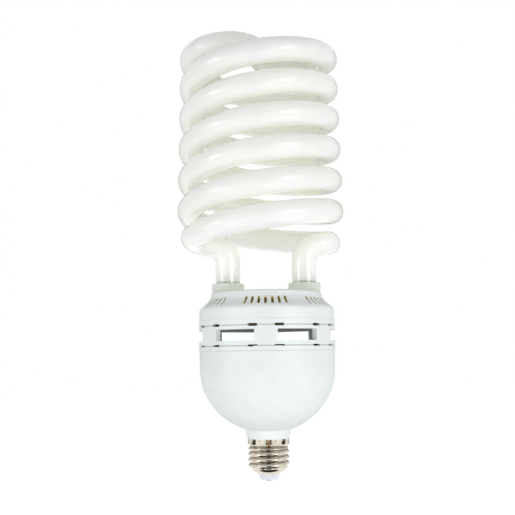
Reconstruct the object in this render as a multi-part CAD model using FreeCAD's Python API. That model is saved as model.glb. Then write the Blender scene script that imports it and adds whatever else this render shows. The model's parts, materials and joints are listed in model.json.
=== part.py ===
import FreeCAD, Part
import math
import os
from FreeCAD import Vector

# Spiral energy saving lamp, cap down. Millimetres, +Z up, origin on the face of the centre contact.
# Angles round the housing start at the front (-Y) and grow towards the right (+X).

# E27 screw cap
thread_d = 26.4
thread_root_d = 24.6
thread_pitch = 3.63
thread_run_out = 1.5
thread_start = 156.0
cap_h = 26.6
cap_sheet = 0.5
cap_rim_d = 26.8
cap_rim_h = 3.6
shell_end_d = 15.6
shell_shoulder_h = 4.8
contact_d = 9.8
contact_h = 0.9
contact_stem_d = 3.0
contact_stem_h = 7.6
insulator_h = 3.2
insulator_tip_d = 11.2
insulator_depth = 3.4
insulator_gap = 0.1
stake_count = 16
stake_turn = -4.0
stake_d = 1.4
stake_depth = 0.35
stake_drop = 0.9

# Housing shared by the three mouldings
housing_d = 89.0
wall = 2.2
band_step = 0.25
fit_gap = 0.2
edge_break = 0.4

# Ballast cup
neck_d = 28.0
neck_top_d = 29.8
neck_h = 5.6
neck_fillet = 1.0
spigot_h = 13.6
spigot_gap = 0.2
spigot_wall = 2.0
dome_flatness = 0.939
cup_draft = 0.15
cup_wall_h = 11.2
cup_band_h = 3.2
board_rib_t = 1.6
board_rib_h = 8.0

# Spacer ring with the cooling gap
sill_h = 3.0
window_h = 7.0
lintel_h = 2.6
deck_t = 1.6
window_round = 0.5
front_pillar_w = 14.2
side_pillar_w = 16.4
side_pillar_at = 55.0
back_pillar_at = 122.0
back_pillar_turn = 3.3
pillar_turn = -1.4
pillar_rib_t = 1.4
pillar_rib_depth = 2.6
duct_d = 13.0
duct_wall = 1.5
tab_w = 9.0
tab_t = 1.6
tab_h = 6.0
bead_h = 1.2
bead_depth = 0.5

# Snap slots on both sides of each pillar
slot_turn = 10.65
slot_w = 5.8
upper_slot_h = 1.7
lower_slot_h = 1.2

# Vented top cover
cover_band_h = 3.9
cover_wall_h = 5.5
shoulder_out = 0.9
shoulder_h = 2.6
bevel_d = 79.8
bevel_h = 2.9
top_d = 72.8
flare_h = 6.2
flare_dip = 0.8
top_round = 0.8
socket_d = 21.2
socket_h = 6.4
socket_depth = 6.0
socket_round = 0.6
vent_groups = 6
vents_per_group = 7
vent_pitch = 6.1
vent_w = 1.7
vent_h = 4.6
vent_rise = 1.0

# Spiral tube
tube_d = 16.0
tube_turns = 3
spiral_pitch = 42.1
spiral_low_d = 94.8
spiral_top_d = 91.2
spiral_shift = -3.1
spiral_rise = 33.0
leg_spacing = 50.6
leg_depth = 16.0
leg_bend = 11.0
leg_heading = 8.0
cement_gap = 0.3
cement_d = 23.4
cement_h = 6.0
cement_drop = 0.4
cement_clear = 0.1

# Ballast board and its parts, which hang below it
board_gap = 3.4
board_t = 1.6
board_drop = 9.6
bulk_cap_d = 22.0
bulk_cap_h = 30.0
bulk_cap_groove = 0.8
bulk_cap_x = -14.0
bulk_cap_y = -10.0
choke_w = 25.0
choke_h = 24.0
choke_t = 7.0
choke_leg = 3.5
choke_x = 13.0
choke_y = -12.0
bobbin_flange = 1.2
bobbin_wall = 1.0
bobbin_out = 20.0
bobbin_gap = 0.2
inductor_d = 12.0
inductor_h = 15.0
inductor_waist = 2.0
inductor_x = 20.0
inductor_y = 14.0
toroid_d = 10.0
toroid_hole = 5.0
toroid_h = 5.0
toroid_x = 2.0
toroid_y = 8.0
drive_wire_d = 0.8
drive_turns = 6
sink_w = 26.0
sink_t = 1.5
sink_h = 20.0
sink_foot = 3.0
sink_y = 29.5
package_w = 10.0
package_t = 4.4
package_h = 9.0
package_tab_t = 1.3
package_tab_h = 6.5
package_hole = 3.6
package_lead = 0.8
package_lead_h = 4.0
package_spacing = 13.0
resonant_cap = (13.0, 6.0, 11.0)
resonant_y = 20.0
film_cap = (10.0, 4.5, 9.0)
film_cap_step = 6.5
film_cap_x = -16.0
film_cap_y = 8.0
capsule_round = 0.8
diode_d = 2.7
diode_l = 5.2
diode_step = 3.7
diode_x = 29.5
diode_y = -6.5
resistor_d = 2.4
resistor_l = 6.4
resistor_step = 3.6
left_resistors_x = -27.4
left_resistors_y = 7.9
back_resistors_x = 18.6
back_resistors_y = 24.0
front_resistor_x = 10.0
front_resistor_y = -27.5
fuse_d = 4.0
fuse_l = 10.0
fuse_x = -30.0
fuse_y = -1.5
axial_lead_d = 0.7
axial_lead_out = 1.2
axial_rise = 0.6
axial_bend = 0.6
thermistor_d = 9.0
thermistor_t = 4.0
thermistor_x = -6.0
thermistor_y = -28.0

# Wiring
pin_d = 1.4
pin_h = 5.4
pin_x = 9.0
pin_y = 6.0
lead_d = 1.2
lead_bend = 2.0
lead_apart = 3.2
lead_run_z = 3.4
mains_bend = 2.6
mains_x = -1.2
live_y = -1.0
neutral_y = 1.6
neutral_out = 7.0

# Heights that follow from the sizes above
z_shell_end = contact_h + insulator_h
z_thread_low = z_shell_end + shell_shoulder_h
z_thread_high = cap_h - cap_rim_h
z_neck_top = cap_h + neck_h
housing_r = housing_d / 2
cup_top_r = housing_r - band_step
dome_r = cup_top_r - cup_draft
dome_h = dome_flatness * dome_r
z_dome = z_neck_top + dome_h * math.sqrt(1 - (neck_top_d / 2 / dome_r) ** 2)
z_cup_band = z_dome + cup_wall_h
z_lower_line = z_cup_band + cup_band_h
z_window_low = z_lower_line + sill_h
z_window_high = z_window_low + window_h
z_upper_line = z_window_high + lintel_h
z_cover_band = z_upper_line + cover_band_h
z_shoulder = z_cover_band + cover_wall_h
z_bevel = z_shoulder + shoulder_h
z_flare = z_bevel + bevel_h
z_top = z_flare + flare_h + top_round
z_socket_top = z_top + socket_h
z_leg_end = z_socket_top - socket_h - leg_depth
z_spiral = z_top + spiral_rise
z_board = z_cup_band - board_drop + cup_band_h
inner_r = dome_r - wall
skirt_r = housing_r - wall
tab_r = skirt_r - fit_gap
leg_x = leg_spacing / 2
tube_r = tube_d / 2
board_r = inner_r - board_gap
pillars = [0.0, side_pillar_at, back_pillar_at + back_pillar_turn, 180.0,
           360.0 - back_pillar_at + back_pillar_turn, 360.0 - side_pillar_at]


def pillar_width(turn):
    """Width of the pillar at this angle."""
    return side_pillar_w if turn % 180.0 else front_pillar_w


def post(r, z0, z1, x=0.0, y=0.0):
    """Upright round bar."""
    return Part.makeCylinder(r, z1 - z0, Vector(x, y, z0))


def block(size, x, y, z0):
    """Box centred on x and y, standing on z0."""
    w, d, h = size
    return Part.makeBox(w, d, h, Vector(x - w / 2, y - d / 2, z0))


def round_turn(shape, turn):
    """Copy of a shape made at the front, turned round the housing."""
    copy = shape.copy()
    copy.rotate(Vector(0, 0, 0), Vector(0, 0, 1), turn)
    return copy


def revolve(edges):
    """Solid of revolution of a closed half section given as edges."""
    face = Part.Face(Part.Wire(Part.__sortEdges__(edges)))
    return face.revolve(Vector(0, 0, 0), Vector(0, 0, 1), 360)


def chain(points):
    """Open run of straight edges through (radius, height) points."""
    corners = [Vector(r, 0, z) for r, z in points]
    return [Part.makeLine(a, b) for a, b in zip(corners, corners[1:])]


def ring_edges(shape, r, z):
    """Circular edges of a shape at this radius and height."""
    found = []
    for edge in shape.Edges:
        curve = edge.Curve
        if isinstance(curve, Part.Circle) and abs(curve.Radius - r) < 1e-3 and abs(curve.Center.z - z) < 1e-3:
            found.append(edge)
    return found


def sewn_solid(faces):
    """Solid bounded by faces that share their edges."""
    shell = Part.makeShell(faces)
    shell.sewShape()
    solid = Part.makeSolid(shell)
    if solid.Volume < 0:
        solid.reverse()
    return solid


def wire_run(points, bend, diameter):
    """Round wire along straight runs joined by tangent arcs."""
    edges = []
    start = points[0]
    for before, corner, after in zip(points, points[1:], points[2:]):
        back = (before - corner).normalize()
        on = (after - corner).normalize()
        half = back.getAngle(on) / 2
        reach = bend / math.tan(half)
        middle = corner + (back + on).normalize() * (bend / math.sin(half) - bend)
        a = corner + back * reach
        b = corner + on * reach
        edges.append(Part.makeLine(start, a))
        edges.append(Part.Arc(a, middle, b).toShape())
        start = b
    edges.append(Part.makeLine(start, points[-1]))
    path = Part.Wire(edges)
    disc = Part.Wire(Part.makeCircle(diameter / 2, points[0], points[1] - points[0]))
    return path.makePipeShell([disc], True, True)


# Screw cap

def smooth(t):
    """Ease from 0 to 1."""
    t = min(1.0, max(0.0, t))
    return t * t * (3 - 2 * t)


def shoulder_radius(z):
    """Outer radius of the shell's rounded end."""
    t = min(1.0, (z - z_shell_end) / shell_shoulder_h)
    return shell_end_d / 2 + (thread_root_d - shell_end_d) / 2 * math.sin(math.pi / 2 * t)


def shell_radius(z, angle):
    """Outer radius of the rolled shell, with a single right-hand round thread."""
    rim = smooth((z - z_thread_high + thread_run_out) / thread_run_out)
    base = shoulder_radius(z) + rim * (cap_rim_d - thread_root_d) / 2
    rise = smooth((z - z_thread_low + thread_run_out / 2) / thread_run_out)
    fade = 1 - smooth((z - z_thread_high + 2 * thread_run_out) / thread_run_out)
    turn = (z - z_thread_low) / thread_pitch - (angle - math.radians(thread_start)) / (2 * math.pi)
    wave = (1 + math.cos(2 * math.pi * turn)) / 2
    return base + rise * fade * wave * (thread_d - thread_root_d) / 2


def shell_core(inset):
    """Solid inside the threaded skin, inset from the outside of the sheet."""
    rows = 64
    columns = 32
    grid = []
    for i in range(rows + 1):
        z = z_shell_end + (cap_h - z_shell_end) * i / rows
        line = []
        for j in range(columns + 1):
            angle = math.pi / 2 + 2 * math.pi * (j % columns) / columns
            r = shell_radius(z, angle) - inset
            line.append(Vector(r * math.cos(angle), r * math.sin(angle), z))
        grid.append(line)
    surface = Part.BSplineSurface()
    surface.interpolate(grid)
    skin = surface.toShape()
    ends = [e for e in skin.Edges if e.BoundBox.ZLength < 1e-6]
    return sewn_solid([skin] + [Part.Face(Part.Wire(e)) for e in ends])


def make_cap_shell():
    """Screw shell rolled from sheet, staked to the neck below its rim."""
    sheet = shell_core(0.0).cut(shell_core(cap_sheet))
    stakes = []
    stake_r = stake_d / 2
    for i in range(stake_count):
        centre = Vector(0, stake_depth - cap_rim_d / 2 - stake_r, cap_h - stake_drop)
        ball = Part.makeSphere(stake_r, centre)
        stakes.append(round_turn(ball, stake_turn + 360.0 * i / stake_count))
    return sheet.cut(Part.makeCompound(stakes))


def make_cap_insulator():
    """Insulating plug that fills the shell's end, with the cone that carries the contact."""
    z_plug = z_shell_end + insulator_depth
    steps = 6
    bed = []
    for i in range(steps + 1):
        z = z_shell_end + insulator_depth * i / steps
        bed.append(Vector(shoulder_radius(z) - cap_sheet - insulator_gap, 0, z))
    curve = Part.BSplineCurve()
    curve.interpolate(Points=bed)
    outline = chain([(bed[-1].x, z_plug), (0, z_plug), (0, contact_h), (insulator_tip_d / 2, contact_h),
                     (bed[0].x, z_shell_end)])
    plug = revolve(outline + [curve.toShape()])
    return plug.cut(post(contact_stem_d / 2, 0, z_plug + 1))


def make_centre_contact():
    """Contact disc with the rivet stem that takes the live wire."""
    disc = post(contact_d / 2, 0, contact_h)
    disc = disc.makeFillet(contact_h / 2, ring_edges(disc, contact_d / 2, 0))
    return disc.fuse(post(contact_stem_d / 2, contact_h, contact_h + contact_stem_h)).removeSplitter()


# Housing mouldings

def slot_cutters(z, height):
    """Snap slots through the wall, two beside each pillar, centred on a parting line."""
    cutters = []
    depth = 3 * wall
    for turn in pillars:
        for side in (-1, 1):
            box = block((slot_w, depth, height), 0, -housing_r, z - height / 2)
            cutters.append(round_turn(box, turn + pillar_turn + side * slot_turn))
    return Part.makeCompound(cutters)


def snap_groove(z):
    """Ring cut inside a skirt for the tabs' beads."""
    half = bead_h / 2 + fit_gap
    outer = post(skirt_r + bead_depth, z - half, z + half)
    return outer.cut(post(skirt_r - wall, z - half - 1, z + half + 1))


def dome_arc(a, b, r_low):
    """Quarter of an ellipse from the radius r_low up to the dome's equator."""
    ellipse = Part.Ellipse(Vector(a, 0, z_dome), Vector(0, 0, z_dome - b), Vector(0, 0, z_dome))
    t_low = math.acos(r_low / a)
    arc = Part.ArcOfEllipse(ellipse, 0, t_low).toShape()
    return arc


def dome_height(a, b, r):
    """Height of a dome's wall at this radius."""
    return z_dome - b * math.sqrt(1 - (r / a) ** 2)


def make_ballast_cup():
    """Domed cup: neck and spigot for the cap, seat ribs for the board, snap groove at the rim."""
    inner_b = dome_h - wall
    spigot_r = thread_root_d / 2 - cap_sheet - spigot_gap
    bore_r = spigot_r - spigot_wall
    z_spigot = cap_h - spigot_h
    outside = chain([(bore_r, z_spigot), (spigot_r, z_spigot), (spigot_r, cap_h), (neck_d / 2, cap_h),
                     (neck_top_d / 2, z_neck_top)])
    outside.append(dome_arc(dome_r, dome_h, neck_top_d / 2))
    outside += chain([(dome_r, z_dome), (cup_top_r, z_cup_band), (housing_r, z_cup_band + band_step),
                      (housing_r, z_lower_line - edge_break), (housing_r - edge_break, z_lower_line),
                      (skirt_r, z_lower_line), (skirt_r, z_cup_band - band_step), (inner_r, z_dome)])
    outside.append(dome_arc(inner_r, inner_b, bore_r))
    outside += chain([(bore_r, dome_height(inner_r, inner_b, bore_r)), (bore_r, z_spigot)])
    cup = revolve(outside)
    cup = cup.makeFillet(neck_fillet, ring_edges(cup, neck_top_d / 2, z_neck_top))
    cup = cup.cut(snap_groove(z_lower_line - tab_h + bead_h))
    cup = cup.cut(slot_cutters(z_lower_line, lower_slot_h))
    ribs = []
    inner = Vector(0, wall - board_r, z_board)
    outer = Vector(0, -inner_r - wall / 2, z_board)
    foot = outer - Vector(0, 0, board_rib_h)
    seat = Part.makePolygon([inner, outer, foot, inner])
    rib = Part.Face(seat).extrude(Vector(board_rib_t, 0, 0))
    rib.translate(Vector(-board_rib_t / 2, 0, 0))
    for turn in pillars:
        ribs.append(round_turn(rib, turn + pillar_turn))
    return cup.fuse(ribs).removeSplitter()


def window_cutter(turn_from, turn_to):
    """Piece cut out of the ring wall between two pillars, with rounded corners."""
    depth = wall + pillar_rib_depth
    low = Vector(0, -housing_r - wall, z_window_low)
    across = Vector(0, depth, 0)
    up = Vector(0, 0, window_h)
    face = Part.Face(Part.makePolygon([low, low + across, low + across + up, low + up, low]))
    face.rotate(Vector(0, 0, 0), Vector(0, 0, 1), turn_from)
    cutter = face.revolve(Vector(0, 0, 0), Vector(0, 0, 1), turn_to - turn_from)
    radial = [e for e in cutter.Edges if isinstance(e.Curve, Part.Line) and e.BoundBox.ZLength < 1e-6]
    return cutter.makeFillet(window_round, radial)


def pillar_half_angle(turn):
    """Half of the angle that a pillar takes up."""
    return math.degrees(math.asin(pillar_width(turn) / 2 / housing_r))


def snap_tab(z_deck, z_line, direction):
    """Tab at the front that stands on a deck and passes a parting line, with a bead near its free end."""
    z_free = z_line + direction * tab_h
    low = min(z_deck, z_free)
    high = max(z_deck, z_free)
    curved = post(tab_r, low, high).cut(post(tab_r - tab_t, low - 1, high + 1))
    bead_middle = Vector(0, 0, z_free - direction * bead_h)
    bead = Part.makeTorus(tab_r - bead_h / 2 + bead_depth, bead_h / 2, bead_middle)
    keep = block((tab_w, housing_r, high - low), 0, -housing_r, low)
    return curved.fuse(bead).common(keep)


def make_spacer_ring():
    """Two decks held apart by six pillars, a wire duct, and snap tabs up and down."""
    ring = post(housing_r, z_lower_line, z_upper_line)
    rims = ring_edges(ring, housing_r, z_lower_line) + ring_edges(ring, housing_r, z_upper_line)
    ring = ring.makeChamfer(edge_break, rims)
    ring = ring.cut(post(skirt_r, z_lower_line - 1, z_upper_line + 1))
    stops = pillars + [360.0]
    windows = []
    for before, after in zip(stops, stops[1:]):
        windows.append(window_cutter(before + pillar_half_angle(before), after - pillar_half_angle(after)))
    ring = ring.cut(Part.makeCompound(windows))
    pieces = []
    for z in (z_window_low - deck_t, z_window_high):
        pieces.append(post(skirt_r + wall / 2, z, z + deck_t))
    pieces.append(post(duct_d / 2, z_window_low - deck_t, z_window_high + deck_t))
    for turn in pillars:
        edge = pillar_half_angle(turn)
        rib = block((pillar_rib_t, pillar_rib_depth, window_h), 0, pillar_rib_depth / 2 - skirt_r - wall / 2,
                    z_window_low)
        inset = math.degrees(pillar_rib_t / 2 / skirt_r)
        for side in (-1, 1):
            pieces.append(round_turn(rib, turn + side * (edge - inset)))
        pieces.append(round_turn(snap_tab(z_window_high, z_upper_line, 1), turn))
        pieces.append(round_turn(snap_tab(z_window_low, z_lower_line, -1), turn))
    ring = ring.fuse(pieces).removeSplitter()
    ring = ring.cut(post(duct_d / 2 - duct_wall, z_lower_line, z_upper_line))
    ring.rotate(Vector(0, 0, 0), Vector(0, 0, 1), pillar_turn)
    ring = ring.cut(slot_cutters(z_upper_line, upper_slot_h))
    return ring.cut(slot_cutters(z_lower_line, lower_slot_h))


def vent_cutters():
    """Round-topped slots through the cone, in groups."""
    cutters = []
    z_low = z_bevel + vent_rise
    length = bevel_d / 2
    straight = block((vent_w, length, vent_h - vent_w / 2), 0, -bevel_d / 2, z_low)
    head_start = Vector(0, -bevel_d / 2 - length / 2, z_low + vent_h - vent_w / 2)
    head = Part.makeCylinder(vent_w / 2, length, head_start, Vector(0, 1, 0))
    vent = straight.fuse(head).removeSplitter()
    middle = (vents_per_group - 1) / 2
    for group in range(vent_groups):
        for i in range(vents_per_group):
            turn = 360.0 * group / vent_groups + (i - middle) * vent_pitch
            cutters.append(round_turn(vent, turn + pillar_turn))
    return Part.makeCompound(cutters)


def cover_inside_radius():
    """Inner radius of the cover at the foot of its cone."""
    lean = (z_flare - z_bevel) / (housing_r - band_step - shoulder_out - bevel_d / 2)
    return bevel_d / 2 - wall / math.cos(math.atan(1 / lean)) * 0.8


def make_top_cover():
    """Cover: skirt, rounded shoulder, vented cone, flat top and two leg sockets."""
    wall_r = housing_r - band_step
    shoulder_r = wall_r - shoulder_out
    bevel_r = bevel_d / 2
    top_r = top_d / 2
    outline = chain([(skirt_r, z_upper_line), (housing_r - edge_break, z_upper_line),
                     (housing_r, z_upper_line + edge_break), (housing_r, z_cover_band - band_step),
                     (wall_r, z_cover_band), (wall_r, z_shoulder)])
    round_middle = Vector(wall_r - shoulder_out * 0.28, 0, z_shoulder + shoulder_h * 0.6)
    wall_end = Vector(wall_r, 0, z_shoulder)
    outline.append(Part.Arc(wall_end, round_middle, Vector(shoulder_r, 0, z_bevel)).toShape())
    outline += chain([(shoulder_r, z_bevel), (bevel_r, z_flare)])
    flare_middle = Vector((bevel_r + top_r) / 2 - flare_dip, 0, z_flare + flare_h / 2)
    z_edge = z_flare + flare_h
    outline.append(Part.Arc(Vector(bevel_r, 0, z_flare), flare_middle, Vector(top_r, 0, z_edge)).toShape())
    outline += chain([(top_r, z_edge), (top_r - top_round, z_top), (0, z_top), (0, z_top - wall),
                      (top_r - wall, z_top - wall), (cover_inside_radius(), z_flare - wall / 2),
                      (skirt_r, z_shoulder), (skirt_r, z_upper_line)])
    cover = revolve(outline)
    for side in (-1, 1):
        socket = post(socket_d / 2, z_top - wall - socket_depth, z_socket_top, side * leg_x)
        rim = ring_edges(socket, socket_d / 2, z_socket_top)
        cover = cover.fuse(socket.makeFillet(socket_round, rim))
    for side in (-1, 1):
        cover = cover.cut(post(tube_r + cement_gap, z_upper_line, z_socket_top + 1, side * leg_x))
    cover = cover.cut(vent_cutters())
    cover = cover.cut(snap_groove(z_upper_line + tab_h - bead_h))
    return cover.cut(slot_cutters(z_upper_line, upper_slot_h)).removeSplitter()


# Spiral tube

def ring_poles(station):
    """Control points of the round section at a station: place, heading and climb of the tube's axis."""
    x, y, z, heading, climb = station
    across = Vector(-math.sin(heading), math.cos(heading), 0)
    back = -math.sin(climb)
    upright = Vector(back * math.cos(heading), back * math.sin(heading), math.cos(climb))
    poles = []
    for k in range(9):
        angle = math.pi * k / 4
        reach = tube_r * math.sqrt(1 + k % 2)
        offset = across * (reach * math.cos(angle)) + upright * (reach * math.sin(angle))
        poles.append(Vector(x, y, z) + offset)
    return poles


def tube_wall(route, spans):
    """Face of the tube along one piece of its route, with true circles at every station."""
    rows = []
    small = 1e-4
    for i in range(spans + 1):
        t = i / spans
        here = ring_poles(route(t))
        handles = [(p - q) * (1 / (6 * small * spans))
                   for p, q in zip(ring_poles(route(t + small)), ring_poles(route(t - small)))]
        rows.append(here if i == 0 else [p - h for p, h in zip(here, handles)])
        rows.append(here if i == spans else [p + h for p, h in zip(here, handles)])
    weights = [[math.sqrt(0.5) if k % 2 else 1.0 for k in range(9)] for row in rows]
    surface = Part.BSplineSurface()
    along = [4] + [2] * (spans - 1) + [4]
    round_section = [3, 2, 2, 2, 3]
    surface.buildFromPolesMultsKnots(rows, along, round_section, list(range(spans + 1)), list(range(5)), False,
                                     False, 3, 2, weights)
    return surface.toShape()


def strand_routes(side):
    """Pieces of one strand's route, from its leg up to the middle of the crown."""
    low_r = spiral_low_d / 2
    top_r = spiral_top_d / 2
    slope = spiral_pitch / (2 * math.pi * low_r)
    climb = math.atan(slope)
    start = 0.0 if side > 0 else math.pi
    lead_x = leg_x - side * spiral_shift
    aim = math.radians(leg_heading)

    # The bend out of the leg, then the turn that runs into the coil
    bend_turn = math.pi / 2 - climb
    run = leg_bend * (1 - math.cos(bend_turn))
    end_x = lead_x + run * math.cos(aim)
    end_y = run * math.sin(aim)
    inward = end_y * math.cos(aim) - end_x * math.sin(aim)
    turn_r = (low_r ** 2 - end_x ** 2 - end_y ** 2) / (2 * (inward + low_r))
    turn_x = end_x - turn_r * math.sin(aim)
    turn_y = end_y + turn_r * math.cos(aim)
    join = math.atan2(turn_y, turn_x)
    turn_sweep = join + math.pi / 2 - aim
    z_turn = z_spiral + spiral_pitch * join / (2 * math.pi) - slope * turn_r * turn_sweep
    z_bend = z_turn - leg_bend * math.sin(bend_turn)
    last = 2 * math.pi * tube_turns

    def place(x, y, z, way, rise):
        return (spiral_shift + side * x, side * y, z, way + start, rise)

    def leg(t):
        return place(lead_x, 0, z_leg_end + (z_bend - z_leg_end) * t, aim, math.pi / 2)

    def bend(t):
        a = bend_turn * t
        out = leg_bend * (1 - math.cos(a))
        return place(lead_x + out * math.cos(aim), out * math.sin(aim), z_bend + leg_bend * math.sin(a), aim,
                     math.pi / 2 - a)

    def turn(t):
        a = aim - math.pi / 2 + turn_sweep * t
        return place(turn_x + turn_r * math.cos(a), turn_y + turn_r * math.sin(a),
                     z_turn + slope * turn_r * turn_sweep * t, a + math.pi / 2, climb)

    def coil(a):
        t = min(1.0, max(0.0, (a - join) / (last - join)))
        r = low_r + (top_r - low_r) * smooth(t)
        narrowing = (top_r - low_r) * 6 * t * (1 - t) / (last - join)
        return place(r * math.cos(a), r * math.sin(a), z_spiral + spiral_pitch * a / (2 * math.pi),
                     a + math.pi / 2 - math.atan(narrowing / r),
                     math.atan(spiral_pitch / (2 * math.pi * math.hypot(r, narrowing))))

    def half_turn(a, b):
        return lambda t: coil(a + (b - a) * t)

    def crown(t):
        a = math.pi * t
        fall = spiral_pitch / (2 * math.pi * top_r)
        z = z_spiral + spiral_pitch * tube_turns + fall * math.pi * top_r / 2 * (t - t * t / 2)
        return place(top_r / 2 * (1 + math.cos(a)), top_r / 2 * math.sin(a), z, a + math.pi / 2,
                     math.atan(fall * (1 - t)))

    stops = [join] + [math.pi * i for i in range(1, 2 * tube_turns + 1)]
    routes = [(leg, 1), (bend, 4), (turn, 4)]
    routes += [(half_turn(a, b), 5) for a, b in zip(stops, stops[1:])]
    return routes + [(crown, 6)]


def make_spiral_tube():
    """One sealed tube: two legs, two strands of coil, and the S crown that joins them."""
    faces = []
    for side in (-1, 1):
        for route, spans in strand_routes(side):
            faces.append(tube_wall(route, spans))
        end = Part.makeCircle(tube_r, Vector(side * leg_x, 0, z_leg_end))
        faces.append(Part.Face(Part.Wire(end)))
    return sewn_solid(faces)


def make_tube_cement():
    """Basing cement round each leg: a film in the socket and a bed under it."""
    plugs = []
    for side in (-1, 1):
        x = side * leg_x
        z_bed = z_top - wall - socket_depth
        film = post(tube_r + cement_gap, z_bed, z_socket_top - cement_drop, x)
        room = post(cover_inside_radius() - cement_clear, z_bed - cement_h, z_bed)
        bed = post(cement_d / 2, z_bed - cement_h / 2, z_bed, x).common(room)
        plugs.append(film.fuse(bed).cut(post(tube_r, z_leg_end - 1, z_socket_top, x)).removeSplitter())
    return Part.makeCompound(plugs)


# Ballast board

def make_circuit_board():
    """Round board that rests on the cup's ribs."""
    return post(board_r, z_board, z_board + board_t)


def make_bulk_capacitor():
    """Electrolytic can with its rolled groove."""
    z_low = z_board - bulk_cap_h
    can = post(bulk_cap_d / 2, z_low, z_board, bulk_cap_x, bulk_cap_y)
    groove = Part.makeTorus(bulk_cap_d / 2, bulk_cap_groove,
                            Vector(bulk_cap_x, bulk_cap_y, z_board - 3 * bulk_cap_groove))
    can = can.cut(groove)
    return can.makeFillet(bulk_cap_groove, ring_edges(can, bulk_cap_d / 2, z_low))


choke_window = choke_h - 2 * choke_leg


def make_choke_core():
    """Pair of E cores closed on each other."""
    core = block((choke_w, choke_t, choke_h), choke_x, choke_y, z_board - choke_h)
    gap = (choke_w - 2 * choke_leg - choke_t) / 2
    for side in (-1, 1):
        x = choke_x + side * (choke_t + gap) / 2
        core = core.cut(block((gap, choke_t + 2, choke_window), x, choke_y, z_board - choke_h + choke_leg))
    return core


def bobbin_span():
    """Width of the bobbin and winding inside the core's windows."""
    return choke_w - 2 * choke_leg - 2 * bobbin_gap


def make_choke_bobbin():
    """Former round the core's middle leg, with two flanges."""
    z_low = z_board - choke_h + choke_leg
    width = choke_t + 2 * bobbin_wall
    body = block((width, width, choke_window), choke_x, choke_y, z_low)
    for z in (z_low, z_low + choke_window - bobbin_flange):
        body = body.fuse(block((bobbin_span(), bobbin_out, bobbin_flange), choke_x, choke_y, z))
    return body.cut(block((choke_t, choke_t, choke_window + 2), choke_x, choke_y, z_low - 1)).removeSplitter()


def make_choke_winding():
    """Coil that fills the former."""
    z_low = z_board - choke_h + choke_leg + bobbin_flange
    height = choke_window - 2 * bobbin_flange
    inner = choke_t + 2 * bobbin_wall
    outer = (bobbin_span() - 2 * bobbin_gap, bobbin_out - 2 * bobbin_wall, height)
    coil = block(outer, choke_x, choke_y, z_low)
    upright = [e for e in coil.Edges if e.BoundBox.ZLength > height / 2]
    coil = coil.makeFillet(2 * bobbin_wall, upright)
    return coil.cut(block((inner, inner, height + 2), choke_x, choke_y, z_low - 1))


def make_filter_inductor():
    """Drum core with its waist of wire."""
    x = inductor_x
    y = inductor_y
    drum = post(inductor_d / 2, z_board - inductor_h, z_board, x, y)
    waist = post(inductor_d, z_board - inductor_h + inductor_waist, z_board - inductor_waist, x, y)
    waist = waist.cut(post(inductor_d / 2 - inductor_waist / 2, z_board - inductor_h, z_board, x, y))
    return drum.cut(waist)


def make_drive_toroid():
    """Ring core held off the board by its winding."""
    z_high = z_board - drive_wire_d
    ring = post(toroid_d / 2, z_high - toroid_h, z_high, toroid_x, toroid_y)
    return ring.cut(post(toroid_hole / 2, z_high - toroid_h - 1, z_high + 1, toroid_x, toroid_y))


def make_drive_winding():
    """Turns of wire round the ring core."""
    z_high = z_board - drive_wire_d
    width = (toroid_d - toroid_hole) / 2
    middle = (toroid_d + toroid_hole) / 4
    turns = []
    for i in range(drive_turns):
        outer = block((drive_wire_d, width + 2 * drive_wire_d, toroid_h + 2 * drive_wire_d), 0, -middle,
                      z_high - toroid_h - drive_wire_d)
        inner = block((2 * drive_wire_d, width, toroid_h), 0, -middle, z_high - toroid_h)
        loop = round_turn(outer.cut(inner), 360.0 * i / drive_turns)
        loop.translate(Vector(toroid_x, toroid_y, 0))
        turns.append(loop)
    core = make_drive_toroid()
    return Part.makeCompound([loop.cut(core) for loop in turns])


def make_heat_sink():
    """Bent aluminium plate behind the two transistors."""
    plate = block((sink_w, sink_t, sink_h), 0, sink_y + sink_t / 2, z_board - sink_h)
    foot = block((sink_w / 2, sink_foot, sink_t), 0, sink_y + sink_foot / 2, z_board - sink_h)
    return plate.fuse(foot).removeSplitter()


def make_power_transistors():
    """Two plastic power packages, tabs flat on the heat sink, leads up to the board."""
    packages = []
    for side in (-1, 1):
        x = side * package_spacing / 2
        z_body = z_board - package_lead_h - package_h
        shape = block((package_w, package_t, package_h), x, sink_y - package_t / 2, z_body)
        tab = block((package_w, package_tab_t, package_tab_h), x, sink_y - package_tab_t / 2,
                    z_body - package_tab_h)
        hole = Part.makeCylinder(package_hole / 2, 2 * package_t,
                                 Vector(x, sink_y - package_t, z_body - package_tab_h / 2), Vector(0, 1, 0))
        shape = shape.fuse(tab).cut(hole)
        for i in (-1, 0, 1):
            lead = block((package_lead, package_lead, package_lead_h), x + i * package_w / 4,
                         sink_y - package_t / 2, z_board - package_lead_h)
            shape = shape.fuse(lead)
        packages.append(shape.removeSplitter())
    return Part.makeCompound(packages)


def capsule(size, x, y):
    """Dipped film capacitor: a block with soft upright edges, hanging under the board."""
    body = block(size, x, y, z_board - size[2])
    upright = [e for e in body.Edges if e.BoundBox.ZLength > size[2] / 2]
    return body.makeFillet(capsule_round, upright)


def make_resonant_capacitor():
    """Film capacitor across the tube."""
    return capsule(resonant_cap, 0.0, resonant_y)


def make_film_capacitors():
    """Three small film capacitors in a row."""
    places = [film_cap_y + i * film_cap_step for i in range(3)]
    return Part.makeCompound([capsule(film_cap, film_cap_x, y) for y in places])


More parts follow.
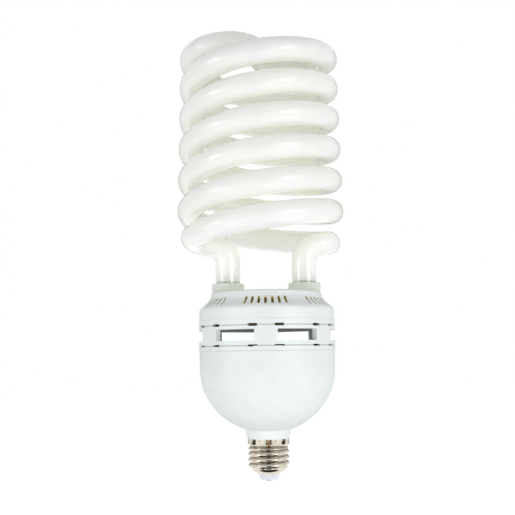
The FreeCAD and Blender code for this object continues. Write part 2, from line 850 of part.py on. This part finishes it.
def axial(diameter, length, x, y):
    """Axial part lying along X just under the board, its leads bent up to the board."""
    z = z_board - axial_rise - diameter / 2
    end = length / 2 + axial_lead_out
    body = Part.makeCylinder(diameter / 2, length, Vector(x - length / 2, y, z), Vector(1, 0, 0))
    lead = wire_run([Vector(x - end, y, z_board), Vector(x - end, y, z), Vector(x + end, y, z),
                     Vector(x + end, y, z_board)], axial_bend, axial_lead_d)
    return body.fuse(lead)


def make_rectifier_diodes():
    """Bridge of four diodes."""
    return Part.makeCompound([axial(diode_d, diode_l, diode_x, diode_y + i * diode_step) for i in range(4)])


def make_resistors():
    """Six small resistors in three groups."""
    group = [(left_resistors_x, left_resistors_y + i * resistor_step) for i in range(3)]
    group += [(back_resistors_x, back_resistors_y + i * resistor_step) for i in range(2)]
    group.append((front_resistor_x, front_resistor_y))
    return Part.makeCompound([axial(resistor_d, resistor_l, x, y) for x, y in group])


def make_fuse_resistor():
    """Fusible resistor at the mains input, laid along the board's edge."""
    part = axial(fuse_d, fuse_l, 0, 0)
    part.rotate(Vector(0, 0, 0), Vector(0, 0, 1), 90)
    part.translate(Vector(fuse_x, fuse_y, 0))
    return part


def make_thermistor():
    """Disc that delays the start while the electrodes warm."""
    x = thermistor_x
    y = thermistor_y
    disc = Part.makeCylinder(thermistor_d / 2, thermistor_t, Vector(x, y - thermistor_t / 2,
                             z_board - thermistor_d / 2 - axial_lead_out), Vector(0, 1, 0))
    for side in (-1, 1):
        lead_x = x + side * thermistor_d / 4
        disc = disc.fuse(post(axial_lead_d / 2, z_board - thermistor_d / 2, z_board, lead_x, y))
    return disc.removeSplitter()


# Wiring

def make_lead_pins():
    """Four wrap pins on the board for the electrode leads."""
    z = z_board + board_t
    spots = [(sx * pin_x, sy * pin_y) for sx in (-1, 1) for sy in (-1, 1)]
    return Part.makeCompound([post(pin_d / 2, z, z + pin_h, x, y) for x, y in spots])


def make_electrode_leads():
    """Four wires: out of a tube end, across the upper deck, down the duct and out to a pin."""
    leads = []
    half = lead_apart / 2
    z_across = z_upper_line + lead_run_z
    z_pin = z_board + board_t + pin_h / 2
    reach = math.hypot(pin_x - half, pin_y - half)
    short = 1 - pin_d / 2 / reach
    for sx in (-1, 1):
        for sy in (-1, 1):
            x = sx * half
            y = sy * half
            run = [Vector(sx * leg_x, y, z_leg_end), Vector(sx * leg_x, y, z_across), Vector(x, y, z_across),
                   Vector(x, y, z_pin),
                   Vector(x + sx * (pin_x - half) * short, y + sy * (pin_y - half) * short, z_pin)]
            leads.append(wire_run(run, lead_bend, lead_d))
    return Part.makeCompound(leads)


def make_live_lead():
    """Wire from the board to the stem of the centre contact."""
    z_stem = contact_h + contact_stem_h
    run = [Vector(mains_x, live_y, z_board), Vector(mains_x, live_y, z_neck_top + 4 * mains_bend),
           Vector(0, 0, z_neck_top), Vector(0, 0, z_stem)]
    return wire_run(run, mains_bend, lead_d)


def make_neutral_lead():
    """Wire from the board, down the neck and out to the inside of the screw shell."""
    z_out = z_thread_low + lead_d
    inside = thread_root_d / 2 - cap_sheet - lead_d / 4
    run = [Vector(mains_x, neutral_y, z_board), Vector(mains_x, neutral_y, z_neck_top + 4 * mains_bend),
           Vector(-neutral_out, neutral_y, z_neck_top), Vector(-neutral_out, neutral_y, z_out),
           Vector(-math.sqrt(inside ** 2 - neutral_y ** 2), neutral_y, z_out)]
    return wire_run(run, mains_bend, lead_d)


nodes = {
    "spiral_tube": make_spiral_tube,
    "tube_cement": make_tube_cement,
    "top_cover": make_top_cover,
    "spacer_ring": make_spacer_ring,
    "ballast_cup": make_ballast_cup,
    "cap_shell": make_cap_shell,
    "cap_insulator": make_cap_insulator,
    "centre_contact": make_centre_contact,
    "circuit_board": make_circuit_board,
    "bulk_capacitor": make_bulk_capacitor,
    "choke_core": make_choke_core,
    "choke_bobbin": make_choke_bobbin,
    "choke_winding": make_choke_winding,
    "filter_inductor": make_filter_inductor,
    "drive_toroid": make_drive_toroid,
    "drive_winding": make_drive_winding,
    "heat_sink": make_heat_sink,
    "power_transistors": make_power_transistors,
    "resonant_capacitor": make_resonant_capacitor,
    "film_capacitors": make_film_capacitors,
    "rectifier_diodes": make_rectifier_diodes,
    "resistors": make_resistors,
    "fuse_resistor": make_fuse_resistor,
    "thermistor": make_thermistor,
    "lead_pins": make_lead_pins,
    "electrode_leads": make_electrode_leads,
    "live_lead": make_live_lead,
    "neutral_lead": make_neutral_lead,
}

os.makedirs("parts", exist_ok=True)
for name, make in nodes.items():
    shape = make()
    shape.exportStep("parts/" + name + ".step")
    print(name, len(shape.Solids), "solid", round(shape.Volume / 1000, 2), "cm3")
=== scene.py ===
# %% [markdown]
# # A spiral energy saving lamp
#
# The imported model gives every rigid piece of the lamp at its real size: the glass spiral, the three
# white mouldings, the screw cap and the ballast inside. All of them are stiff and turned, bent or
# moulded, so their CAD shapes stay as they are. This lesson gives each of them its finish, and sets
# up the camera and the studio.

# %% Load the frame
import json
import math

import bmesh
import bpy
from mathutils import Matrix, Vector


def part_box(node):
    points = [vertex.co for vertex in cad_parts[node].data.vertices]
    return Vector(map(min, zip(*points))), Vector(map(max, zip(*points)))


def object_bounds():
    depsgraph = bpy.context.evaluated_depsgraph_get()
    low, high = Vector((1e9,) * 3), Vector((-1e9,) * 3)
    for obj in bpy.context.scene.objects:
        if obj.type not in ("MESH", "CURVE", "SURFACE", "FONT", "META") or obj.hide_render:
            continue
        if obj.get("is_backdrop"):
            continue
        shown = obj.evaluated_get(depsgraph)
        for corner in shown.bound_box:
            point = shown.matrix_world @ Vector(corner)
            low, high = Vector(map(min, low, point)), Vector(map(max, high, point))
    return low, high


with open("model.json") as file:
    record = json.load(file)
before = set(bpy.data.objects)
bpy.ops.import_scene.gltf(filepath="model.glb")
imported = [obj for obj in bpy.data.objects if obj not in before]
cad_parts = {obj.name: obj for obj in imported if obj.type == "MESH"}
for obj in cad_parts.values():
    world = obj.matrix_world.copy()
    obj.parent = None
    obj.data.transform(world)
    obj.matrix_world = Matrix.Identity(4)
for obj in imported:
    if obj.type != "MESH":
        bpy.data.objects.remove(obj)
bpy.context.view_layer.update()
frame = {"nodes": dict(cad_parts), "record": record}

scene = bpy.context.scene
nodes = frame["nodes"]
subparts = frame["record"]["subparts"]
print("CAD nodes:", len(nodes))

# %% [markdown]
# ## The camera
#
# The photo looks at the lamp from the front, from about the middle of the housing, and tilts up by
# seven degrees, so the rings of the housing curve upwards and the spiral leans a little to the left.
# The place and the focal length could be found by eye. Here they come from fitting the rings, the
# coil and the cap to their places in the photo, because a long object shows every small error of
# perspective.

# %% Camera
image_pixels = 515
focal_pixels = 774.07
camera_place = Vector((-0.00553, -0.51136, 0.0807))
camera_pitch = math.radians(7.07)
camera_roll = math.radians(-0.78)

camera_data = bpy.data.cameras.new("photo_camera")
camera_data.sensor_width = 36.0
camera_data.lens = camera_data.sensor_width * focal_pixels / image_pixels
camera_data.clip_start = 0.01
camera = bpy.data.objects.new("photo_camera", camera_data)
scene.collection.objects.link(camera)
tilt = Matrix.Rotation(math.pi / 2 + camera_pitch, 4, "X")
roll = Matrix.Rotation(camera_roll, 4, "Z")
camera.matrix_world = Matrix.Translation(camera_place) @ tilt @ roll
scene.camera = camera
print("lens:", round(camera_data.lens, 2), "mm, at", tuple(round(value, 3) for value in camera_place))

# %% [markdown]
# ## Helpers for materials
#
# Every finish here is one Principled shader with noise behind it. The noise reads Object
# coordinates, which are metres in the lamp's own frame, so a scale of 1000 is a grain of about a
# millimetre on every piece. Three small helpers are enough: one drifts the colour between two
# shades, one drifts the roughness, and one raises a fine bump.

# %% Material helpers
finishes = {}


def new_finish(name):
    material = bpy.data.materials.new(name)
    material.use_nodes = True
    tree = material.node_tree
    return material, tree, tree.nodes["Principled BSDF"]


def noise(tree, scale, detail=2.0, stretch=(1.0, 1.0, 1.0)):
    place = tree.nodes.new("ShaderNodeTexCoord")
    mapping = tree.nodes.new("ShaderNodeMapping")
    mapping.inputs["Scale"].default_value = stretch
    texture = tree.nodes.new("ShaderNodeTexNoise")
    texture.inputs["Scale"].default_value = scale
    texture.inputs["Detail"].default_value = detail
    tree.links.new(place.outputs["Object"], mapping.inputs["Vector"])
    tree.links.new(mapping.outputs["Vector"], texture.inputs["Vector"])
    return texture.outputs["Fac"]


print("helpers:", ", ".join(helper.__name__ for helper in (new_finish, noise)))

# %% Drift and relief
noise_low = 0.3
noise_high = 0.7
bump_depth = 0.0001


def drift_colour(tree, shader, shade, tint, scale, stretch=(1.0, 1.0, 1.0)):
    ramp = tree.nodes.new("ShaderNodeValToRGB")
    first, last = ramp.color_ramp.elements
    first.position = noise_low
    first.color = (*shade, 1.0)
    last.position = noise_high
    last.color = (*tint, 1.0)
    tree.links.new(noise(tree, scale, 3.0, stretch), ramp.inputs["Fac"])
    tree.links.new(ramp.outputs["Color"], shader.inputs["Base Color"])


def drift_roughness(tree, shader, low, high, scale):
    spread = tree.nodes.new("ShaderNodeMapRange")
    spread.inputs["From Min"].default_value = noise_low
    spread.inputs["From Max"].default_value = noise_high
    spread.inputs["To Min"].default_value = low
    spread.inputs["To Max"].default_value = high
    tree.links.new(noise(tree, scale), spread.inputs["Value"])
    tree.links.new(spread.outputs["Result"], shader.inputs["Roughness"])


def raise_bump(tree, shader, height, strength):
    bump = tree.nodes.new("ShaderNodeBump")
    bump.inputs["Strength"].default_value = strength
    bump.inputs["Distance"].default_value = bump_depth
    tree.links.new(height, bump.inputs["Height"])
    tree.links.new(bump.outputs["Normal"], shader.inputs["Normal"])


print("bumps are at most", bump_depth * 1000, "mm high")

# %% [markdown]
# ## Helpers for zones
#
# Some finishes change from place to place: the white powder stops just above the sockets, and the
# hidden inside of the housing is painted warm and dark, as painted light and shade behind its vents.
# Painting a map would need an unwrapped mesh. The height and the distance from the lamp's axis are
# enough here, because nearly every piece is turned round that axis.


# %% Height and radius
def height_and_radius(tree):
    place = tree.nodes.new("ShaderNodeTexCoord")
    parts = tree.nodes.new("ShaderNodeSeparateXYZ")
    flat = tree.nodes.new("ShaderNodeVectorMath")
    flat.operation = "MULTIPLY"
    flat.inputs[1].default_value = (1.0, 1.0, 0.0)
    radius = tree.nodes.new("ShaderNodeVectorMath")
    radius.operation = "LENGTH"
    tree.links.new(place.outputs["Object"], parts.inputs["Vector"])
    tree.links.new(place.outputs["Object"], flat.inputs[0])
    tree.links.new(flat.outputs["Vector"], radius.inputs[0])
    return parts.outputs["Z"], radius.outputs["Value"]


# %% Bands and tints
def fade(tree, value, first, last, start=0.0, end=1.0):
    spread = tree.nodes.new("ShaderNodeMapRange")
    spread.inputs["From Min"].default_value = first
    spread.inputs["From Max"].default_value = last
    spread.inputs["To Min"].default_value = start
    spread.inputs["To Max"].default_value = end
    tree.links.new(value, spread.inputs["Value"])
    return spread.outputs["Result"]


def combine(tree, operation, first, second):
    node = tree.nodes.new("ShaderNodeMath")
    node.operation = operation
    tree.links.new(first, node.inputs[0])
    tree.links.new(second, node.inputs[1])
    return node.outputs["Value"]


def band(tree, value, low, high, soft=0.0004):
    rising = fade(tree, value, low - soft, low + soft)
    falling = fade(tree, value, high - soft, high + soft, 1.0, 0.0)
    return combine(tree, "MULTIPLY", rising, falling)


def tint_where(tree, shader, amount, colour):
    blend = tree.nodes.new("ShaderNodeMix")
    blend.data_type = "RGBA"
    below = shader.inputs["Base Color"].links[0].from_socket
    tree.links.new(amount, blend.inputs[0])
    tree.links.new(below, blend.inputs[6])
    blend.inputs[7].default_value = (*colour, 1.0)
    tree.links.new(blend.outputs[2], shader.inputs["Base Color"])


print("helpers:", ", ".join(helper.__name__ for helper in (fade, combine, band, tint_where)))

# %% [markdown]
# ## Coated glass
#
# The tube is clear glass with a white powder baked on its inside. The powder is a warm, matt white
# that lets light through from coil to coil, and the glass over it is glossy. A real glass wall with
# a second surface under it would show this too, but subsurface light under a clear coat gives the
# same look with far less noise. The powder ends about a millimetre above the sockets, where a thin
# ring of bare glass looks grey.

# %% Coated glass
bare_from = 0.100
coating_end = 0.1275
powder_shade = (0.970, 0.976, 0.882)
powder_tint = (0.983, 0.989, 0.902)
bare_glass = (0.42, 0.44, 0.39)

material, tree, shader = new_finish("coated_glass")
drift_colour(tree, shader, powder_shade, powder_tint, scale=90.0)
height, radius = height_and_radius(tree)
tint_where(tree, shader, band(tree, height, bare_from, coating_end), bare_glass)
drift_roughness(tree, shader, 0.42, 0.52, scale=400.0)
shader.inputs["Subsurface Weight"].default_value = 1.0
shader.inputs["Subsurface Radius"].default_value = (1.0, 1.0, 0.9)
shader.inputs["Subsurface Scale"].default_value = 0.03
shader.inputs["Coat Weight"].default_value = 1.0
shader.inputs["Coat Roughness"].default_value = 0.10
shader.inputs["Coat IOR"].default_value = 1.5
finishes["coated_glass"] = material
bare_ring = coating_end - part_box("top_cover")[1][2]
print("bare glass shows for", round(bare_ring * 1000, 2), "mm above the sockets")

# %% [markdown]
# ## White mouldings
#
# The cover, the ring and the cup are moulded in a cool white plastic with a fine satin grain, which
# a noise of under half a millimetre gives. The plastic round the two legs is painted darker and a
# little greener: painted shade, where the coil above and the cover below keep the light away. A fine
# grey line of painted shade runs along the two seams and under the band of the cup. A map could do
# that, but a line at a height needs no map.

# %% White plastic
plastic_shade = (0.795, 0.842, 0.842)
plastic_tint = (0.825, 0.872, 0.872)
socket_shade_colour = (0.725, 0.775, 0.72)
socket_shade_from = 0.1186
socket_shade_above = 0.1200

material, tree, shader = new_finish("white_plastic")
drift_colour(tree, shader, plastic_shade, plastic_tint, scale=120.0)
drift_roughness(tree, shader, 0.34, 0.42, scale=700.0)
raise_bump(tree, shader, noise(tree, scale=2600.0), strength=0.06)
height, radius = height_and_radius(tree)
# painted shade: the sockets under the coil are drawn darker and greener
tint_where(tree, shader, fade(tree, height, socket_shade_from, socket_shade_above), socket_shade_colour)
finishes["white_plastic"] = material
mouldings = [part["node"] for part in subparts if part["material_slot"] == "white_plastic"]
print("white plastic on", ", ".join(mouldings))

# %% Seams
seam_shade_grey = (0.50, 0.53, 0.52)
seam_half = 0.00025
band_line_half = 0.00015
cup_band = 0.0032

cover_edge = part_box("top_cover")[0][2]
cup_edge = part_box("ballast_cup")[1][2]
shaded_seams = {cover_edge: seam_half, cup_edge: seam_half, cup_edge - cup_band: band_line_half}
# painted shade: thin grey lines along the two seams and under the cup's band
for seam, half in shaded_seams.items():
    tint_where(tree, shader, band(tree, height, seam - half, seam + half, half / 2), seam_shade_grey)
print("grey lines at", [round(seam * 1000, 2) for seam in shaded_seams], "mm")

# %% [markdown]
# ## Painted light and shade inside the mouldings
#
# Inside, the mouldings are painted golden brown behind the vents and nearly black behind the slots:
# painted shade for the dark hollow, and a painted warm glow for the light that comes through the
# plastic. An inner wall could have its own material on its own faces, but these meshes are left
# alone. So the material itself finds out how far a point lies behind the outer skin, which is upright
# at the skirt and leans inwards at the cone.

# %% Painted light and shade inside the mouldings
cone_foot, cone_top = 0.1076, 0.1193
skirt_radius, cone_top_radius = 0.0428, 0.0350
skin_depth = 0.0008
# painted shade in the slot bands and a painted warm glow in the vent band
inner_painted_light_and_shade = {
    (0.0800, 0.0884): (0.08, 0.07, 0.03),
    (0.0958, 0.1040): (0.26, 0.22, 0.05),
    (0.1048, 0.1182): (0.88, 0.72, 0.20),
}

skin = fade(tree, height, cone_foot, cone_top, skirt_radius, cone_top_radius)
depth = combine(tree, "SUBTRACT", skin, radius)
behind_skin = fade(tree, depth, 0.0, skin_depth)
for (low, high), colour in inner_painted_light_and_shade.items():
    inside = combine(tree, "MULTIPLY", behind_skin, band(tree, height, low, high))
    tint_where(tree, shader, inside, colour)
satin = shader.inputs["Roughness"].links[0].from_socket
tree.links.new(combine(tree, "MAXIMUM", satin, behind_skin), shader.inputs["Roughness"])
print("tinted bands inside:", len(inner_painted_light_and_shade))

# %% [markdown]
# ## Nickel cap
#
# The screw shell is rolled brass sheet with a thin bright nickel plate, so it mirrors the studio
# with a slight yellow cast. The thread's valleys are painted duller and darker: painted shade in the
# hollows of the thread. A pointiness node could find the valleys, but it depends on the mesh. The
# radius does it here.

# %% Nickel plate
nickel_shade = (0.57, 0.53, 0.45)
nickel_tint = (0.655, 0.615, 0.53)
valley_shade_nickel = (0.24, 0.20, 0.15)
valley_radius, flank_radius = 0.0124, 0.0128
thread_low, thread_high = 0.0095, 0.0225

material, tree, shader = new_finish("nickel_plate")
drift_colour(tree, shader, nickel_shade, nickel_tint, scale=300.0, stretch=(1.0, 1.0, 3.0))
drift_roughness(tree, shader, 0.07, 0.13, scale=500.0)
raise_bump(tree, shader, noise(tree, scale=1500.0), strength=0.03)
shader.inputs["Metallic"].default_value = 1.0
height, radius = height_and_radius(tree)
# painted shade: the thread's valleys are drawn darker
valleys = fade(tree, radius, valley_radius, flank_radius, 1.0, 0.0)
thread_zone = band(tree, height, thread_low, thread_high, soft=0.001)
tint_where(tree, shader, combine(tree, "MULTIPLY", valleys, thread_zone), valley_shade_nickel)
finishes["nickel_plate"] = material
shell_low, shell_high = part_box("cap_shell")
print("screw shell:", round((shell_high[0] - shell_low[0]) * 1000, 1), "mm across")

# %% [markdown]
# ## Insulator, contact and ballast
#
# The rest are common parts of the trade: a glazed insulator and a tinned contact under the cap, and
# inside the housing a paper board with its capacitors, ferrite cores, windings and leads. One helper
# gives each its colour, its gloss and a fine grain. Each could have a material of its own kind, but
# all of them are plain mouldings, sleeves and sheets, which differ only in these values.


# %% A plain finish
def plain_finish(name, shade, tint, scale, rough, metallic=0.0, relief=0.1):
    material, tree, shader = new_finish(name)
    drift_colour(tree, shader, shade, tint, scale)
    drift_roughness(tree, shader, *rough, scale * 3.0)
    raise_bump(tree, shader, noise(tree, scale=2000.0), relief)
    shader.inputs["Metallic"].default_value = metallic
    finishes[name] = material
    return material, tree, shader


plain_finish("insulator_white", (0.72, 0.76, 0.82), (0.78, 0.82, 0.88), 500.0, rough=(0.3, 0.4))
plain_finish("contact_metal", (0.78, 0.80, 0.83), (0.88, 0.90, 0.93), 600.0, rough=(0.3, 0.4), metallic=1.0)
print("under the cap:", "insulator_white, contact_metal")

# %% Ballast finishes
plain_finish("cement", (0.50, 0.41, 0.27), (0.64, 0.54, 0.38), 500.0, rough=(0.8, 0.95), relief=0.4)
plain_finish("board_paper", (0.40, 0.27, 0.11), (0.50, 0.35, 0.15), 700.0, rough=(0.5, 0.65))
plain_finish("black_sleeve", (0.010, 0.012, 0.016), (0.020, 0.022, 0.028), 300.0, rough=(0.25, 0.35))
plain_finish("ferrite", (0.030, 0.030, 0.033), (0.055, 0.055, 0.060), 900.0, rough=(0.6, 0.75), relief=0.3)
plain_finish("black_moulding", (0.012, 0.012, 0.012), (0.022, 0.022, 0.022), 900.0, rough=(0.45, 0.6))
plain_finish("bare_aluminium", (0.68, 0.69, 0.70), (0.78, 0.79, 0.80), 500.0, rough=(0.3, 0.42), metallic=1.0)
plain_finish("film_red", (0.25, 0.030, 0.018), (0.33, 0.045, 0.025), 400.0, rough=(0.25, 0.38))
plain_finish("film_green", (0.020, 0.10, 0.030), (0.035, 0.14, 0.045), 400.0, rough=(0.25, 0.38))
plain_finish("resistor_tan", (0.48, 0.35, 0.18), (0.58, 0.44, 0.25), 600.0, rough=(0.4, 0.55))
plain_finish("lead_sleeve", (0.70, 0.70, 0.66), (0.78, 0.78, 0.74), 500.0, rough=(0.35, 0.45))
print("finishes so far:", len(finishes))

# %% [markdown]
# ## Copper windings
#
# The choke and the small ring core are wound with enamelled copper wire. Modelling each turn would
# cost many faces inside a closed housing, so the turns are a bump: a wave along the height, one
# crest for each wire.

# %% Copper wire
wire_pitch = 0.0004
waves_per_scale = 20 / math.tau

copper_shade = (0.50, 0.20, 0.08)
copper_tint = (0.66, 0.29, 0.12)
material, tree, shader = plain_finish(
    "copper_wire", copper_shade, copper_tint, 900.0, rough=(0.25, 0.38), metallic=1.0)
place = tree.nodes.new("ShaderNodeTexCoord")
turns = tree.nodes.new("ShaderNodeTexWave")
turns.bands_direction = "Z"
turns.inputs["Scale"].default_value = 1 / (waves_per_scale * wire_pitch)
tree.links.new(place.outputs["Object"], turns.inputs["Vector"])
raise_bump(tree, shader, turns.outputs["Fac"], strength=0.8)
coil_low, coil_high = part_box("choke_winding")
print("turns on each layer of the choke:", round((coil_high[2] - coil_low[2]) / wire_pitch))

# %% [markdown]
# ## Finishes on their pieces
#
# The record names a material slot for each piece. A CAD piece comes with one slot of its own, so the
# finish goes straight into it, and the mesh stays untouched.

# %% Assign
for part in subparts:
    nodes[part["node"]].material_slots[0].material = finishes[part["material_slot"]]
print("pieces with a finish:", len(subparts), "finishes:", len(finishes))

# %% [markdown]
# ## The white surroundings
#
# The photo is a cut-out on pure white with no shadow in the frame. The world is white for what the
# camera and reflections see. For light it is stronger at the horizon than above, because the photo's
# lamp stood in a white tent with most of its light at the sides and below. One strength for both
# would light the lamp flat.


# %% World
def seen_directly(tree):
    path = tree.nodes.new("ShaderNodeLightPath")
    total = path.outputs["Is Camera Ray"]
    for ray in ("Is Glossy Ray", "Is Transmission Ray"):
        total = combine(tree, "MAXIMUM", total, path.outputs[ray])
    return total


light_at_horizon = 0.58
light_from_above = 0.20

world = bpy.data.worlds.new("white_tent")
scene.world = world
world.use_nodes = True
tree = world.node_tree
direction = tree.nodes.new("ShaderNodeTexCoord")
parts = tree.nodes.new("ShaderNodeSeparateXYZ")
tree.links.new(direction.outputs["Generated"], parts.inputs["Vector"])
strength = tree.nodes.new("ShaderNodeMix")
strength.inputs["B"].default_value = 1.0
tree.links.new(seen_directly(tree), strength.inputs["Factor"])
ambient = fade(tree, parts.outputs["Z"], 0.0, 1.0, light_at_horizon, light_from_above)
tree.links.new(ambient, strength.inputs["A"])
background = tree.nodes["Background"]
background.inputs["Color"].default_value = (1.0, 1.0, 1.0, 1.0)
tree.links.new(strength.outputs["Result"], background.inputs["Strength"])
print("world light: horizon", light_at_horizon, "above", light_from_above)

# %% [markdown]
# ## The floor
#
# A floor right under the lamp would catch a shadow in view, and the photo shows none. So the floor
# lies a quarter of a metre lower: its soft shadow is there, but outside this view. It is a pale matt
# sheet that adds a little glow of its own where the camera or a reflection sees it, so that it ends
# as white as the world.


# %% Floor
def stage_card(name, half_width, half_height, place):
    mesh = bmesh.new()
    bmesh.ops.create_grid(mesh, x_segments=1, y_segments=1, size=1.0)
    bmesh.ops.scale(mesh, vec=(half_width, half_height, 1.0), verts=mesh.verts)
    bmesh.ops.transform(mesh, matrix=place, verts=mesh.verts)
    data = bpy.data.meshes.new(name)
    mesh.to_mesh(data)
    mesh.free()
    card = bpy.data.objects.new(name, data)
    scene.collection.objects.link(card)
    card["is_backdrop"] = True
    return card


floor_level = -0.25
floor_half = 6.0
floor_glow = 0.7
floor_shade = (0.84, 0.84, 0.84)
floor_tint = (0.86, 0.86, 0.86)

floor = stage_card("floor", floor_half, floor_half, Matrix.Translation((0.0, 0.0, floor_level)))
material, tree, shader = new_finish("floor_white")
drift_colour(tree, shader, floor_shade, floor_tint, scale=2.0)
shader.inputs["Roughness"].default_value = 0.9
shader.inputs["Emission Color"].default_value = (1.0, 1.0, 1.0, 1.0)
glow = fade(tree, seen_directly(tree), 0.0, 1.0, 0.0, floor_glow)
tree.links.new(glow, shader.inputs["Emission Strength"])
floor.data.materials.append(material)
print("floor:", floor_level, "m")

# %% [markdown]
# ## Lamps
#
# Two soft boxes at the front left and front right give the long streaks on the glass. The walls and
# the floor of the tent throw light back from the sides, from behind and from below, and they are
# wide lamps that reflections don't see, because the tent itself is the white world there. One small
# lamp sits inside the cover: it stands for the light that comes through the white plastic and makes
# the vents look golden.

# %% Soft boxes
lamp_aim = (0.0, 0.0, 0.15)


def aimed(place, aim):
    place = Vector(place)
    turn = (Vector(aim) - place).to_track_quat("-Z", "Y").to_matrix().to_4x4()
    return Matrix.Translation(place) @ turn


def soft_box(name, place, width, height, power, mirrored=True):
    data = bpy.data.lights.new(name, "AREA")
    data.shape = "RECTANGLE"
    data.size = width
    data.size_y = height
    data.energy = power
    lamp = bpy.data.objects.new(name, data)
    lamp.matrix_world = aimed(place, lamp_aim)
    lamp.visible_camera = False
    lamp.visible_glossy = mirrored
    scene.collection.objects.link(lamp)
    print(name, power, "W")


soft_box("right_box", (0.74, -0.86, 0.27), 0.36, 0.24, power=2.0)
soft_box("left_box", (-0.98, -0.55, 0.27), 0.34, 0.24, power=1.5)
soft_box("right_wall", (1.2, -0.1, 0.0), 0.9, 1.0, power=2.8, mirrored=False)
soft_box("left_wall", (-1.2, -0.1, 0.0), 0.9, 1.0, power=1.3, mirrored=False)
soft_box("back_wall", (0.0, 1.2, 0.1), 1.2, 1.0, power=9.0, mirrored=False)
soft_box("floor_bounce", (0.0, -0.2, floor_level + 0.01), 2.0, 2.0, power=10.2, mirrored=False)

# %% Light through the plastic
cover_middle = (0.0, 0.0, 0.1115)

light = bpy.data.lights.new("light_in_cover", "POINT")
light.energy = 0.002
light.shadow_soft_size = 0.004
lamp = bpy.data.objects.new("light_in_cover", light)
lamp.location = cover_middle
scene.collection.objects.link(lamp)
print("light in the cover:", round(light.energy, 4), "W")

# %% [markdown]
# ## Flags and cards
#
# Bright metal needs something dark to mirror, or it looks like paper. Photographers hang dark cards,
# called flags, for that: a tall one round the camera, one at each side, and two below the cap. A
# brown card warms the middle of the rim, two white ones keep the sides of the cap bright, and a grey
# one behind draws the edges of the glass. Only reflections see them here, so they cost no light.
# Paint on the metal would look right from one side only.

# %% Card finishes
card_glow = (0.97, 1.0, 0.90, 1.0)


def card_finish(name, shade, tint, glow=0.0):
    material, tree, shader = new_finish(name)
    drift_colour(tree, shader, shade, tint, scale=4.0)
    shader.inputs["Roughness"].default_value = 1.0
    shader.inputs["Emission Color"].default_value = card_glow
    shader.inputs["Emission Strength"].default_value = glow
    return material


black_card = card_finish("black_card", (0.035, 0.03, 0.022), (0.045, 0.038, 0.028))
brown_card = card_finish("brown_card", (0.74, 0.45, 0.22), (0.78, 0.48, 0.24))
grey_card = card_finish("grey_card", (0.10, 0.10, 0.09), (0.11, 0.11, 0.10), glow=0.5)
white_card = card_finish("white_card", (0.80, 0.80, 0.80), (0.82, 0.82, 0.82), glow=0.75)
print("card finishes: black, brown, grey, white")

# %% Flags
cap_middle = (0.0, 0.0, 0.015)


def flag(name, finish, place, half_width, half_height, aim=cap_middle):
    card = stage_card(name, half_width, half_height, aimed(place, aim))
    card.visible_camera = False
    card.visible_diffuse = False
    card.visible_transmission = False
    card.visible_shadow = False
    card.data.materials.append(finish)
    print(name, "at", place)


flag("camera_flag", black_card, (0.0, -1.2, 0.45), 0.32, 0.70, aim=(0.0, 0.0, 0.45))
flag("rim_card", brown_card, (0.0, -1.15, -0.10), 0.17, 0.13)
flag("right_flag", black_card, (1.2, 0.0, -0.12), 0.30, 0.14)
flag("left_flag", black_card, (-1.2, 0.0, -0.12), 0.30, 0.14)
flag("under_flag", black_card, (0.0, -0.04, floor_level + 0.05), 0.14, 0.09)
flag("floor_flag", black_card, (0.0, -0.55, floor_level + 0.02), 0.075, 0.34, aim=(0.0, -0.55, 0.0))
flag("back_card", grey_card, (0.0, 1.3, 0.25), 1.0, 0.8, aim=(0.0, 0.0, 0.25))
flag("right_card", white_card, (0.86, -0.77, -0.09), 0.55, 0.16)
flag("left_card", white_card, (-0.86, -0.77, -0.09), 0.55, 0.16)

# %% [markdown]
# ## Colours as written, and light from coil to coil
#
# Standard shows colours as they are written. The white powder throws back nearly all light, so light
# goes from coil to coil many times before it fades. The usual four bounces would leave the gaps of
# the spiral too dark.

# %% View and bounces
coil_bounces = 24

scene.view_settings.view_transform = "Standard"
scene.cycles.max_bounces = coil_bounces
scene.cycles.diffuse_bounces = coil_bounces
print("view:", scene.view_settings.view_transform, "bounces:", scene.cycles.diffuse_bounces)

# %% [markdown]
# ## Sizes, and the end
#
# The looks must not change the lamp's size. The box of the finished model is printed at the end.

# %% Sizes
low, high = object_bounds()
print("visual box:", tuple(low), tuple(high))
